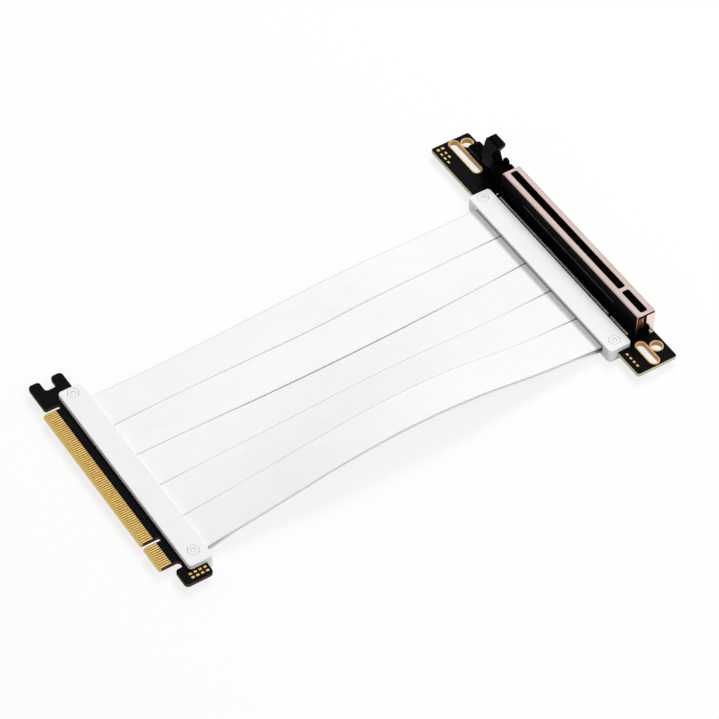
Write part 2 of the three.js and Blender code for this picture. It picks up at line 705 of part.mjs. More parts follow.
function strip(index, layer) {
  const stations = stripStations();
  const [w, t] = [STRIP_W / 2, STRIP_T / 2];
  const e = STRIP_EDGE;
  const crown = t + STRIP_CROWN;
  const half = [[w, t - e], [w - e, t], [w / 3, crown], [-w / 3, crown], [e - w, t], [-w, t - e]];
  const section = [...half, ...half.map(([across, up]) => [-across, -up])];
  const shape = new THREE.Shape(section.map(([across, up]) => new THREE.Vector2(across, up)));
  const options = { depth: STRIP_STEPS, steps: STRIP_STEPS, bevelEnabled: false };
  const geometry = new THREE.ExtrudeGeometry(shape, options);
  const at = geometry.getAttribute("position");
  for (let i = 0; i < at.count; i += 1) {
    const x = stations[Math.round(at.getZ(i))];
    at.setXYZ(i, ...stripPoint(index, layer, x, at.getX(i), at.getY(i)));
  }
  return toSolid(geometry);
}

// Assembly
const riser = new THREE.Group();
const middleX = (plugEdge + farEdge) / 2;
const middleY = (boardLower + boardUpper) / 2;
riser.position.set(-middleX, -middleY, -floorZ);

function place(name, solid, material) {
  const mesh = new THREE.Mesh(toGeometry(solid), material);
  mesh.name = name;
  riser.add(mesh);
}

place("plug_board", plugBoard(), maskBlack());
place("slot_board", slotBoard(), maskBlack());
place("slot_housing", slotHousing(), blackNylon());
place("slot_shield", slotShield(), nickel());
place("latch_lever", latchLever(), blackNylon());
for (const mount of mounts) place(mount.name, mountPad(mount), gold());
for (const end of [plugEnd, slotEnd]) {
  place(`${end.name}_top_cover`, cover(end, true), whiteNylon());
  place(`${end.name}_bottom_cover`, cover(end, false), whiteNylon());
  for (const spot of screwPlaces(end)) {
    place(`${end.name}_screw_${spot.name}`, screw(spot), whiteNylon());
    place(`${end.name}_nut_${spot.name}`, nut(spot), whiteNylon());
  }
}
for (let index = 0; index < STRIPS; index += 1) {
  place(`ribbon_upper_${index + 1}`, strip(index, 0), whiteFilm());
  place(`ribbon_lower_${index + 1}`, strip(index, 1), whiteFilm());
}

export default riser;
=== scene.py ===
"""Looks of the ribbon riser cable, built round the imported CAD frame.

Places are written in millimetres in the slot's own axes: x = 0 and y = 0 are the middle of the
card slot and z = 0 is the top face of both boards. at() turns them into the frame's metres.
"""

import math

import bpy
from mathutils import Matrix, Vector


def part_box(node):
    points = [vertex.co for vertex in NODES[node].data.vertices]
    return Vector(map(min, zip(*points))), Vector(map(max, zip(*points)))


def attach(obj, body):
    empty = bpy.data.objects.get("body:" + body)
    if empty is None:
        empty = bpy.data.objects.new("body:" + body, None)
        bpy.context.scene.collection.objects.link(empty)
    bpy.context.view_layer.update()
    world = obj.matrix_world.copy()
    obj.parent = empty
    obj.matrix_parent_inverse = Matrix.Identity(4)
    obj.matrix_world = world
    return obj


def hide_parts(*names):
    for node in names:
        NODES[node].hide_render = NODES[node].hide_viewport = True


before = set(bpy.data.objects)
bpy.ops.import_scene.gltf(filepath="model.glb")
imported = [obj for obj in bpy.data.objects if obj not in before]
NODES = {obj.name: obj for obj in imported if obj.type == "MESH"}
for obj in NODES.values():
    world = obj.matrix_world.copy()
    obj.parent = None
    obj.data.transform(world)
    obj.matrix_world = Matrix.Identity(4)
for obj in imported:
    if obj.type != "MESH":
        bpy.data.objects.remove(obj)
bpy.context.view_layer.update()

MM = 0.001

# Boards and slot, read from the frame. The slot's middle is HOUSING_END from the housing's lower end
HOUSING_END = 44.5
SHIELD_LOW, SHIELD_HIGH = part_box("slot_shield")
SLOT_BOARD_LOW, SLOT_BOARD_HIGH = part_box("slot_board")
PLUG_BOARD_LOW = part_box("plug_board")[0]
HOUSING_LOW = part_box("slot_housing")[0]
BOARD_TOP = SLOT_BOARD_HIGH.z
SLOT_X = (SHIELD_LOW.x + SHIELD_HIGH.x) / 2
SLOT_Y = HOUSING_LOW.y + HOUSING_END * MM
BOARD_T = (SLOT_BOARD_HIGH.z - SLOT_BOARD_LOW.z) / MM
SHIELD_HALF = (SHIELD_HIGH.x - SHIELD_LOW.x) / 2 / MM


def at(x, y, z=0.0):
    """A place in the slot's axes, in millimetres, as a point in the frame."""
    return Vector((SLOT_X + x * MM, SLOT_Y + y * MM, BOARD_TOP + z * MM))


def local(point):
    """A point in the frame as millimetres in the slot's axes."""
    return (point - at(0, 0, 0)) / MM


PLUG_EDGE = local(PLUG_BOARD_LOW).x
BOARD_END = local(SLOT_BOARD_LOW).x

# Contacts
PITCH = 1.0
LONG_CONTACTS = 71
SHORT_CONTACTS = 11
PLUG_KEY_Y = -32.0
KEY_NOTCH = 1.9

# Cover over the slot board's near edge, and the painted shadow band on the ribbon before it
COVER_OVER_EDGE = 3.75
SHADOW_BAND_L = 3.0
BAND_UNEVEN = 1.2

# Half the width of the painted shade line along the ribbon's free edge, as a share of the way round a strip
EDGE_SHADE_SHARE = 0.006

# Depth of the yellow bevel at the tongue's edge
TONGUE_BEVEL = 1.05

# A face counts as flat where its normal's Z is at least this
FLAT_FROM = 0.97

# Camera
CAMERA_AZIMUTH = math.radians(-34.12)
CAMERA_ELEVATION = math.radians(48.861)
CAMERA_ROLL = math.radians(1.628)
CAMERA_OFFSET = (-83.777, -38.465, 1225.277)
FOCAL_PIXELS = 3159.914
PHOTO_PIXELS = 719
SENSOR_MM = 36.0


def set_camera():
    a, e = CAMERA_AZIMUTH, CAMERA_ELEVATION
    back = Vector((math.sin(a) * math.cos(e), -math.cos(a) * math.cos(e), math.sin(e)))
    level = Vector((math.cos(a), math.sin(a), 0))
    upright = back.cross(level)
    right = level * math.cos(CAMERA_ROLL) + upright * math.sin(CAMERA_ROLL)
    up = upright * math.cos(CAMERA_ROLL) - level * math.sin(CAMERA_ROLL)
    x, y, away = CAMERA_OFFSET
    data = bpy.data.cameras.new("camera")
    camera = bpy.data.objects.new("camera", data)
    bpy.context.scene.collection.objects.link(camera)
    turn = Matrix((right, up, back)).transposed().to_4x4()
    camera.matrix_world = Matrix.Translation(at(*(right * x + up * y + back * away))) @ turn
    data.sensor_width = SENSOR_MM
    data.lens = SENSOR_MM * FOCAL_PIXELS / PHOTO_PIXELS
    data.clip_start, data.clip_end = 0.01, 20
    bpy.context.scene.camera = camera


set_camera()


# Materials
def new_material(name, color, roughness, metallic=0.0, **sockets):
    material = bpy.data.materials.new(name)
    material.use_nodes = True
    shader = material.node_tree.nodes["Principled BSDF"]
    shader.inputs["Base Color"].default_value = (*color, 1)
    shader.inputs["Roughness"].default_value = roughness
    shader.inputs["Metallic"].default_value = metallic
    for socket, value in sockets.items():
        shader.inputs[socket.replace("_", " ")].default_value = value
    return material


def node_of(material, kind, **values):
    node = material.node_tree.nodes.new(kind)
    for key, value in values.items():
        socket = key.replace("_", " ")
        if socket in node.inputs:
            node.inputs[socket].default_value = value
        else:
            setattr(node, key, value)
    return node


def wire(material, out, into):
    material.node_tree.links.new(out, into)


def shader_of(material):
    return material.node_tree.nodes["Principled BSDF"]


def object_place(material, scale=(1, 1, 1)):
    place = node_of(material, "ShaderNodeTexCoord")
    mapping = node_of(material, "ShaderNodeMapping")
    mapping.inputs["Scale"].default_value = scale
    wire(material, place.outputs["Object"], mapping.inputs["Vector"])
    return mapping.outputs["Vector"]


def grain(material, scale, detail=3.0, stretch=(1, 1, 1)):
    noise = node_of(material, "ShaderNodeTexNoise", Scale=scale, Detail=detail)
    wire(material, object_place(material, stretch), noise.inputs["Vector"])
    return noise.outputs["Fac"]


def bump(material, height, strength, distance):
    node = node_of(material, "ShaderNodeBump", Strength=strength, Distance=distance)
    wire(material, height, node.inputs["Height"])
    wire(material, node.outputs["Normal"], shader_of(material).inputs["Normal"])


def ramp(material, factor, low, high, first, last):
    """A value or colour that runs from first to last as the factor goes from low to high."""
    node = node_of(material, "ShaderNodeValToRGB")
    stops = node.color_ramp.elements
    stops[0].position, stops[1].position = low, high
    stops[0].color, stops[1].color = (*first, 1), (*last, 1)
    wire(material, factor, node.inputs["Fac"])
    return node.outputs["Color"]


def vary_roughness(material, factor, low, high):
    spread = node_of(material, "ShaderNodeMapRange")
    spread.inputs["To Min"].default_value = low
    spread.inputs["To Max"].default_value = high
    wire(material, factor, spread.inputs["Value"])
    wire(material, spread.outputs["Result"], shader_of(material).inputs["Roughness"])


def white_nylon():
    material = new_material("white_nylon", (0.86, 0.86, 0.865), 0.42, Specular_IOR_Level=0.4)
    fine = grain(material, 5200, 2)
    color = ramp(material, grain(material, 160), 0.3, 0.7, (0.85, 0.85, 0.855), (0.88, 0.88, 0.885))
    wire(material, color, shader_of(material).inputs["Base Color"])
    vary_roughness(material, fine, 0.36, 0.5)
    bump(material, fine, 0.12, 0.00004)
    return material


def edge_shade_share(material, place, shade_line_at):
    """1 along the painted shade line at the strip's free edge, at this share of the way round the strip's
    section.
    """
    split = node_of(material, "ShaderNodeSeparateXYZ")
    wire(material, place.outputs["UV"], split.inputs["Vector"])
    away = node_of(material, "ShaderNodeMath", operation="PINGPONG")
    away.inputs[1].default_value = 0.5
    shifted = node_of(material, "ShaderNodeMath", operation="SUBTRACT")
    wire(material, split.outputs["X"], shifted.inputs[0])
    shifted.inputs[1].default_value = shade_line_at
    wire(material, shifted.outputs["Value"], away.inputs[0])
    near = node_of(material, "ShaderNodeMath", operation="LESS_THAN")
    near.inputs[1].default_value = EDGE_SHADE_SHARE
    wire(material, away.outputs["Value"], near.inputs[0])
    return near.outputs["Value"]


def white_film(name, shade_line_at=None):
    """White film, greyer in a band before the slot's cover as a painted shadow.

    The ribbon's outer strip on the hook's side also has a thin grey line along its free edge, painted shade.
    """
    material = new_material(name, (0.87, 0.87, 0.875), 0.34, Coat_Weight=0.2, Coat_Roughness=0.25)
    wave = grain(material, 120, 2, (1, 3, 1))
    color = ramp(material, wave, 0.3, 0.7, (0.87, 0.87, 0.876), (0.895, 0.895, 0.9))
    place = node_of(material, "ShaderNodeTexCoord")
    split = node_of(material, "ShaderNodeSeparateXYZ")
    wire(material, place.outputs["Object"], split.inputs["Vector"])
    # Painted shadow: the film turns grey in an unevenly edged band just before the slot's cover
    uneven = node_of(material, "ShaderNodeMath", operation="MULTIPLY_ADD")
    uneven.inputs[1].default_value = BAND_UNEVEN * MM
    wire(material, grain(material, 2500, 2), uneven.inputs[0])
    wire(material, split.outputs["X"], uneven.inputs[2])
    band = node_of(material, "ShaderNodeMapRange")
    band.inputs["From Min"].default_value = at(BOARD_END - COVER_OVER_EDGE - SHADOW_BAND_L, 0).x
    band.inputs["From Max"].default_value = at(BOARD_END - COVER_OVER_EDGE - SHADOW_BAND_L / 2, 0).x
    wire(material, uneven.outputs["Value"], band.inputs["Value"])
    shaded_color = mixed(material, band.outputs["Result"], color, (0.4, 0.4, 0.4))
    # Painted shade: a thin grey line along the hook-side strip's free edge
    if shade_line_at is not None:
        shaded_color = mixed(material, edge_shade_share(material, place, shade_line_at), shaded_color, (0.5, 0.5, 0.51))
    wire(material, shaded_color, shader_of(material).inputs["Base Color"])
    vary_roughness(material, grain(material, 900, 3, (0.15, 1, 1)), 0.28, 0.42)
    bump(material, wave, 0.1, 0.0002)
    return material


def edge_share(material):
    """1 on a board's cut edges and bevels, 0 on its flat faces."""
    geometry = node_of(material, "ShaderNodeNewGeometry")
    split = node_of(material, "ShaderNodeSeparateXYZ")
    wire(material, geometry.outputs["True Normal"], split.inputs["Vector"])
    level = node_of(material, "ShaderNodeMath", operation="ABSOLUTE")
    wire(material, split.outputs["Z"], level.inputs[0])
    edge = node_of(material, "ShaderNodeMath", operation="LESS_THAN")
    edge.inputs[1].default_value = FLAT_FROM
    wire(material, level.outputs["Value"], edge.inputs[0])
    return edge.outputs["Value"]


def mixed(material, factor, first, second):
    mix = node_of(material, "ShaderNodeMix", data_type="RGBA")
    wire(material, factor, mix.inputs["Factor"])
    for socket, color in (("A", first), ("B", second)):
        if isinstance(color, tuple):
            mix.inputs[socket].default_value = (*color, 1)
        else:
            wire(material, color, mix.inputs[socket])
    return mix.outputs["Result"]


def board(name, glass_low, glass_high, bevel_end):
    """Black solder mask on the faces, bare glass fibre on the cut edges.

    Edges below bevel_end along X are the tongue's freshly cut bevel and are yellow.
    """
    material = new_material(name, (0.006, 0.006, 0.008), 0.32, Specular_IOR_Level=0.07)
    shader = shader_of(material)
    edge = edge_share(material)
    layers = node_of(material, "ShaderNodeTexWave", Scale=900, Distortion=1.5)
    layers.bands_direction = "Z"
    wire(material, object_place(material), layers.inputs["Vector"])
    glass = ramp(material, layers.outputs["Fac"], 0.1, 0.9, glass_low, glass_high)
    yellow = ramp(material, layers.outputs["Fac"], 0.1, 0.9, (0.58, 0.4, 0.09), (0.78, 0.6, 0.2))
    place = node_of(material, "ShaderNodeTexCoord")
    split = node_of(material, "ShaderNodeSeparateXYZ")
    wire(material, place.outputs["Object"], split.inputs["Vector"])
    bevel = node_of(material, "ShaderNodeMath", operation="LESS_THAN")
    bevel.inputs[1].default_value = bevel_end
    wire(material, split.outputs["X"], bevel.inputs[0])
    cut_edge = mixed(material, bevel.outputs["Value"], glass, yellow)
    mask = ramp(material, grain(material, 900, 3), 0.35, 0.7, (0.0016, 0.0016, 0.0022), (0.003, 0.003, 0.004))
    wire(material, mixed(material, edge, mask, cut_edge), shader.inputs["Base Color"])
    vary_roughness(material, edge, 0.3, 0.7)
    traces = node_of(material, "ShaderNodeTexBrick", Scale=420, Mortar_Size=0.03)
    wire(material, object_place(material, (1, 1.7, 1)), traces.inputs["Vector"])
    bump(material, traces.outputs["Fac"], 0.12, 0.00003)
    return material


def black_nylon():
    material = new_material("black_nylon", (0.0015, 0.0015, 0.002), 0.45, Specular_IOR_Level=0.04)
    fine = grain(material, 4200, 2)
    vary_roughness(material, fine, 0.36, 0.52)
    bump(material, fine, 0.25, 0.00005)
    return material


def bare_nickel():
    material = new_material("bare_nickel", (0.93, 0.78, 0.75), 0.24, 1.0)
    brushed = grain(material, 260, 4, (9, 0.6, 9))
    color = ramp(material, grain(material, 90), 0.3, 0.7, (0.9, 0.7, 0.65), (0.96, 0.79, 0.74))
    wire(material, color, shader_of(material).inputs["Base Color"])
    vary_roughness(material, brushed, 0.2, 0.36)
    bump(material, brushed, 0.04, 0.00003)
    return material


def plated_gold():
    material = new_material("plated_gold", (0.95, 0.6, 0.15), 0.26, 0.45)
    color = ramp(material, grain(material, 700), 0.3, 0.7, (0.8, 0.46, 0.09), (1.0, 0.7, 0.22))
    wire(material, color, shader_of(material).inputs["Base Color"])
    vary_roughness(material, grain(material, 1600, 2), 0.2, 0.36)
    return material


def plated_wall():
    """Gold on the flat rings of the mounting holes, darker on their plated walls as painted shade."""
    material = new_material("plated_wall", (0.62, 0.33, 0.07), 0.34, 0.35)
    ring = ramp(material, grain(material, 600), 0.3, 0.7, (0.94, 0.6, 0.2), (1.0, 0.74, 0.34))
    shaded_wall = ramp(material, grain(material, 500), 0.3, 0.7, (0.5, 0.25, 0.05), (0.72, 0.42, 0.11))
    color = mixed(material, edge_share(material), ring, shaded_wall)
    wire(material, color, shader_of(material).inputs["Base Color"])
    vary_roughness(material, grain(material, 1600, 2), 0.28, 0.45)
    return material


# Painted highlight: the rim beads are a lighter gold than the fingers, standing in for their shine
def highlight_rim():
    material = new_material("highlight_rim", (1.0, 0.7, 0.3), 0.25, 0.35)
    color = ramp(material, grain(material, 600), 0.3, 0.7, (0.94, 0.6, 0.2), (1.0, 0.74, 0.34))
    wire(material, color, shader_of(material).inputs["Base Color"])
    return material


def tinned_copper():
    material = new_material("tinned_copper", (0.9, 0.9, 0.88), 0.3, 0.35)
    vary_roughness(material, grain(material, 2600, 2), 0.18, 0.42)
    bump(material, grain(material, 1400, 2), 0.2, 0.00003)
    return material


def bright_solder():
    material = new_material("bright_solder", (0.97, 0.97, 0.95), 0.35, Specular_IOR_Level=0.9)
    bump(material, grain(material, 1400, 2), 0.2, 0.00003)
    return material


def bare_copper():
    material = new_material("bare_copper", (0.5, 0.2, 0.07), 0.35, 1.0)
    color = ramp(material, grain(material, 500), 0.3, 0.75, (0.3, 0.12, 0.05), (0.62, 0.28, 0.1))
    wire(material, color, shader_of(material).inputs["Base Color"])
    return material


def black_film():
    material = new_material("black_film", (0.002, 0.002, 0.003), 0.55, Specular_IOR_Level=0.02)
    vary_roughness(material, grain(material, 1500, 2, (1, 0.1, 1)), 0.3, 0.42)
    return material


# Painted glint: a grey line laid across the black film on the shield's near side
def painted_glint_grey():
    material = new_material("painted_glint_grey", (0.2, 0.2, 0.205), 0.6, Specular_IOR_Level=0.2)
    bump(material, grain(material, 4000, 2), 0.2, 0.00002)
    return material


WHITE_NYLON = white_nylon()
WHITE_FILM = white_film("white_film")
# Film for the hook-side strip, with a painted shade line along its free edge
HOOK_SIDE_SHADED_FILM = white_film("hook_side_shaded_film", 0.0)
BEVEL_END = at(PLUG_EDGE + TONGUE_BEVEL, 0).x
PLUG_MASK = board("plug_mask", (0.035, 0.022, 0.012), (0.11, 0.07, 0.04), BEVEL_END)
SLOT_MASK = board("slot_mask", (0.5, 0.48, 0.28), (0.76, 0.74, 0.5), at(PLUG_EDGE, 0).x)
BLACK_NYLON = black_nylon()
BARE_NICKEL = bare_nickel()
PLATED_GOLD = plated_gold()
PLATED_WALL = plated_wall()
HIGHLIGHT_RIM = highlight_rim()
TINNED = tinned_copper()
SOLDER = bright_solder()
BARE_COPPER = bare_copper()
BLACK_FILM = black_film()
PAINTED_GLINT_GREY = painted_glint_grey()


def dress(node, material):
    """Gives a CAD node its finish."""
    mesh = NODES[node].data
    mesh.materials.clear()
    mesh.materials.append(material)


dress("plug_board", PLUG_MASK)
dress("slot_board", SLOT_MASK)
dress("slot_housing", BLACK_NYLON)
dress("latch_lever", BLACK_NYLON)
dress("slot_shield", BARE_NICKEL)
for side in ("upper", "lower"):
    dress(f"mount_pad_{side}", PLATED_WALL)
    for end in ("plug", "slot"):
        dress(f"{end}_screw_{side}", WHITE_NYLON)
        dress(f"{end}_nut_{side}", WHITE_NYLON)
for end in ("plug", "slot"):
    dress(f"{end}_top_cover", WHITE_NYLON)
    dress(f"{end}_bottom_cover", WHITE_NYLON)


# Modelling helpers
BEVEL_ANGLE = 30


def deselect():
    if bpy.context.object and bpy.context.object.mode != "OBJECT":
        bpy.ops.object.mode_set(mode="OBJECT")
    bpy.ops.object.select_all(action="DESELECT")


def named(name):
    piece = bpy.context.object
    piece.name = name
    piece.data.name = name
    return piece


def only(piece):
    deselect()
    piece.select_set(True)
    bpy.context.view_layer.objects.active = piece


def box_from(name, low, high):
    """A box between two corners in the slot's axes."""
    deselect()
    a, b = at(*low), at(*high)
    bpy.ops.mesh.primitive_cube_add(size=1, location=(a + b) / 2, scale=b - a)
    piece = named(name)
    bpy.ops.object.transform_apply(location=True, rotation=True, scale=True)
    return piece


def soften(piece, width, segments=2):
    only(piece)
    bevel = piece.modifiers.new("edges", "BEVEL")
    bevel.width = width * MM
    bevel.segments = segments
    bevel.angle_limit = math.radians(BEVEL_ANGLE)
    bpy.ops.object.modifier_apply(modifier=bevel.name)


def repeat(piece, count, step):
    """Copies a piece along a step in millimetres, as one mesh."""
    only(piece)
    row = piece.modifiers.new("row", "ARRAY")
    row.count = count
    row.use_relative_offset = False
    row.use_constant_offset = True
    row.constant_offset_displace = Vector(step) * MM
    bpy.ops.object.modifier_apply(modifier=row.name)


def merge(name, pieces):
    deselect()
    for piece in pieces:
        piece.select_set(True)
    bpy.context.view_layer.objects.active = pieces[0]
    if len(pieces) > 1:
        bpy.ops.object.join()
    return named(name)


def finish(piece, material, smooth=35):
    only(piece)
    if smooth:
        bpy.ops.object.shade_smooth_by_angle(angle=math.radians(smooth))
    piece.data.materials.clear()
    piece.data.materials.append(material)
    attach(piece, "root")


# Ribbon
STRIPS = 5
STRIP_W = 16.3
STRIP_T = 0.75
STRIP_IN = 0.8
SLOT_SLIT = 0.7
PLUG_SLIT = 0.35
# The strips widen until this slit is left, in part at the ends and in full from END_SHARE of the span on
MID_SLIT = 0.07
END_CLOSING = 0.4
END_SHARE = 0.14
RIBBON_SPAN = 176.35
SLOT_MOUTH = BOARD_END - COVER_OVER_EDGE
PLUG_MOUTH = SLOT_MOUTH - RIBBON_SPAN
COVER_OVER_PLUG = 2.9
PLUG_BOARD_END = PLUG_MOUTH - COVER_OVER_PLUG
PLUG_RIBBON_Y = -3.1
LAYER_STEP = 1.15
LAYER_EASE = 16
SOLDER_GAP = 0.3
WIRES = 25
WIRE_RIDGE = 0.035
EDGE_THINNING = 0.55
SPAN_STEPS = 72
# Heights of the ribbon's six edge lines at seven even stations from plug to slot, as in the part
EDGE_HEIGHTS = (
    (0.9, 0.4, 1.1, 2.0, 2.5, 1.2, 0.9),
    (0.9, 1.3, 0.7, 0.2, 1.2, 1.0, 0.9),
    (0.9, 0.1, -1.1, -1.6, -1.4, -0.6, 0.9),
    (0.9, 1.6, 2.4, 3.1, 2.6, 0.9, 0.9),
    (0.9, 3.5, 7.1, 9.3, 8.1, 3.2, 0.9),
    (0.9, 5.0, 9.5, 11.4, 9.6, 4.5, 0.9),
)
# Steps in height between the neighbouring strips at each edge line, at mid-span
SLIT_STEPS = (0, 0.4, 0.7, 0.1, 0.1, 0)


def lerp(a, b, t):
    return a + (b - a) * t


def smoothstep(t):
    t = min(max(t, 0.0), 1.0)
    return t * t * (3 - 2 * t)


def along_line(heights, share):
    """A smooth curve through evenly spaced heights."""
    place = min(max(share, 0.0), 1.0) * (len(heights) - 1)
    i = min(int(place), len(heights) - 2)
    t = place - i
    b, c = heights[i], heights[i + 1]
    a = heights[i - 1] if i else 2 * b - c
    d = heights[i + 2] if i + 2 < len(heights) else 2 * c - b
    return 0.5 * (2 * b + (c - a) * t + (2 * a - 5 * b + 4 * c - d) * t * t + (3 * b - a - 3 * c + d) * t**3)


def strip_point(index, layer, x, across, up):
    share = min(max((x - PLUG_MOUTH) / RIBBON_SPAN, 0.0), 1.0)
    place = (STRIPS - 1 - 2 * index) / 2
    middle = lerp(PLUG_RIBBON_Y + place * (STRIP_W + PLUG_SLIT), place * (STRIP_W + SLOT_SLIT), share)
    lift = math.sin(math.pi * share) / 2
    hook_side = along_line(EDGE_HEIGHTS[index], share) - SLIT_STEPS[index] * lift
    tab_side = along_line(EDGE_HEIGHTS[index + 1], share) + SLIT_STEPS[index + 1] * lift
    top = lerp(tab_side, hook_side, across / STRIP_W + 0.5)
    closed = lerp(END_CLOSING, 1, smoothstep(min(share, 1 - share) / END_SHARE))
    closing = closed * (lerp(PLUG_SLIT, SLOT_SLIT, share) - MID_SLIT)
    across *= 1 + closing / STRIP_W
    out = min(x - PLUG_MOUTH, SLOT_MOUTH - x)
    drop = lerp(BOARD_T + SOLDER_GAP + STRIP_T, LAYER_STEP, smoothstep(out / LAYER_EASE))
    return at(x, middle + across, top - STRIP_T / 2 + up - layer * drop)


def strip_section():
    """Points round a strip, as shares of its half width and half thickness: a ridge for each wire."""
    steps = 2 * WIRES
    upper = []
    for i in range(steps + 1):
        across = 1 - 2 * i / steps
        ridge = 0 if i % 2 else WIRE_RIDGE
        edge = EDGE_THINNING if i in (0, steps) else 1
        upper.append((across * STRIP_W / 2, edge * (STRIP_T / 2 - WIRE_RIDGE + ridge)))
    return upper + [(-across, -up) for across, up in upper]


def ribbon_strip(index, layer):
    """One strip: a grid closed round its section and laid over its two edge lines."""
    section = strip_section()
    ends = [PLUG_BOARD_END - STRIP_IN, BOARD_END + STRIP_IN]
    xs = [lerp(PLUG_MOUTH, SLOT_MOUTH, i / SPAN_STEPS) for i in range(SPAN_STEPS + 1)]
    xs = [ends[0], *xs, ends[1]]
    layer_name = "lower" if layer else "upper"
    deselect()
    bpy.ops.mesh.primitive_grid_add(x_subdivisions=len(section), y_subdivisions=len(xs) - 1, size=1)
    piece = named(f"film_strip_{layer_name}_{index + 1}")
    columns = len(section) + 1
    for i, vertex in enumerate(piece.data.vertices):
        across, up = section[i % columns % len(section)]
        vertex.co = strip_point(index, layer, xs[i // columns], across, up)
    bpy.ops.object.transform_apply(location=True, rotation=True, scale=True)
    bpy.ops.object.mode_set(mode="EDIT")
    bpy.ops.mesh.select_all(action="SELECT")
    bpy.ops.mesh.remove_doubles(threshold=1e-6)
    bpy.ops.mesh.select_all(action="DESELECT")
    bpy.ops.mesh.select_non_manifold()
    bpy.ops.mesh.edge_face_add()
    bpy.ops.mesh.select_all(action="SELECT")
    bpy.ops.mesh.normals_make_consistent(inside=False)
    bpy.ops.object.mode_set(mode="OBJECT")
    finish(piece, WHITE_FILM if index else HOOK_SIDE_SHADED_FILM, smooth=60)
    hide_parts(f"ribbon_{layer_name}_{index + 1}")
    path = [strip_point(index, layer, x, 0, 0) for x in xs]


for strip in range(STRIPS):
    for layer in (0, 1):
        ribbon_strip(strip, layer)


# Card edge contacts
FINGER_W = 0.72
FINGER_T = 0.035
FINGER_BEVEL = 0.012
FINGER_MARGIN = 0.1
FINGER_X = (PLUG_EDGE + 1.0, PLUG_EDGE + 5.3)
LONG_TOP_Y = PLUG_KEY_Y + KEY_NOTCH / 2 + FINGER_MARGIN + LONG_CONTACTS * PITCH
SHORT_TOP_Y = PLUG_KEY_Y - KEY_NOTCH / 2 - FINGER_MARGIN


def finger_row(top_y, count, z):
    y = top_y - PITCH / 2
    low = (FINGER_X[0], y - FINGER_W / 2, min(z, z + math.copysign(FINGER_T, z + 0.5)))
    high = (FINGER_X[1], y + FINGER_W / 2, max(z, z + math.copysign(FINGER_T, z + 0.5)))
    finger = box_from("finger", low, high)
    soften(finger, FINGER_BEVEL, 1)
    repeat(finger, count, (0, -PITCH, 0))
    return finger


def edge_contacts():
    rows = []
    for z in (0.0, -BOARD_T):
        rows.append(finger_row(LONG_TOP_Y, LONG_CONTACTS, z))
        rows.append(finger_row(SHORT_TOP_Y, SHORT_CONTACTS, z))
    finish(merge("edge_contacts", rows), PLATED_GOLD, smooth=0)


edge_contacts()

# Slot's solder feet: a flattened ball and a short lead each; a row is its first Y and its count
FOOT_X = -5.7
FOOT_Z = 0.06
FOOT_HALF_SIZE = (0.5, 0.36, 0.5)
LEAD_HALF_W = 0.16
LEAD_L = 0.5
LEAD_TOP = 0.26
FOOT_ROWS = ((45.3, 1), (42.9, 73), (-31.5, 11))


def solder_feet():
    """The shiny solder points along the slot's near side."""
    rows = []
    for y, count in FOOT_ROWS:
        deselect()
        bpy.ops.mesh.primitive_uv_sphere_add(
            segments=12,
            ring_count=8,
            radius=1,
            location=at(FOOT_X, y, FOOT_Z),
            scale=Vector(FOOT_HALF_SIZE) * MM,
        )
        point = named("solder_point")
        bpy.ops.object.transform_apply(location=True, rotation=True, scale=True)
        low = (FOOT_X, y - LEAD_HALF_W, FOOT_Z)
        lead = box_from("solder_lead", low, (FOOT_X + LEAD_L, y + LEAD_HALF_W, LEAD_TOP))
        soften(lead, 0.05, 1)
        foot = merge("solder_foot", [point, lead])
        repeat(foot, count, (0, -PITCH, 0))
        rows.append(foot)
    finish(merge("solder_feet", rows), SOLDER, smooth=50)


solder_feet()

# Film on the shield's near side, with one grey line as a painted glint
FILM_END = 44.6
FILM_Z = (0.5, 11.0)
FILM_T = 0.06
LINE_Z = 6.2
LINE_END = 30.0
LINE_W = 0.22
LINE_OUT = 0.01
LINE_IN = 0.02


def shield_film():
    outer = -SHIELD_HALF
    film = box_from("side_film", (outer - FILM_T, -FILM_END, FILM_Z[0]), (outer, FILM_END, FILM_Z[1]))
    soften(film, 0.02, 1)
    finish(film, BLACK_FILM)
    low = (outer - FILM_T - LINE_OUT, -LINE_END, LINE_Z - LINE_W / 2)
    high = (outer - FILM_T + LINE_IN, LINE_END, LINE_Z + LINE_W / 2)
    line = box_from("glint_line", low, high)
    soften(line, 0.006, 1)
    finish(line, PAINTED_GLINT_GREY)


shield_film()

# Contact springs in the groove, over the part's own
SPRING_W = 0.4
SPRING_T = 0.05
SPRING_LIFT = 0.04
SPRING_LINE = ((-2.15, 2.6), (-0.73, 7.8), (-1.1, 9.2))
LONG_GROOVE = (-29.25, 42.4)
SHORT_GROOVE = (-42.4, -30.75)


def spring_leaf(low, high, y):
    """A flat leaf between two points of the spring's line, both in X and Z."""
    middle = ((low[0] + high[0]) / 2, y, (low[1] + high[1]) / 2)
    run = math.hypot(high[0] - low[0], high[1] - low[1])
    deselect()
    size = Vector((SPRING_T, SPRING_W, run + SPRING_T)) * MM
    bpy.ops.mesh.primitive_cube_add(size=1, location=at(*middle), scale=size)
    leaf = named("spring_leaf")
    tilt = math.atan2(high[0] - low[0], high[1] - low[1])
    leaf.rotation_euler = (0, tilt, 0)
    bpy.ops.object.transform_apply(location=True, rotation=True, scale=True)
    soften(leaf, 0.012, 1)
    return leaf


def spring_row(side, span, count):
    first = (span[0] + span[1]) / 2 - (count - 1) * PITCH / 2
    line = [(-side * (x + SPRING_LIFT), z) for x, z in SPRING_LINE]
    leaves = [spring_leaf(low, high, first) for low, high in zip(line, line[1:])]
    row = merge("spring_row", leaves)
    repeat(row, count, (0, PITCH, 0))
    return row


def slot_springs():
    rows = []
    for side in (-1, 1):
        rows.append(spring_row(side, LONG_GROOVE, LONG_CONTACTS))
        rows.append(spring_row(side, SHORT_GROOVE, SHORT_CONTACTS))
    finish(merge("slot_springs", rows), BARE_COPPER)


slot_springs()
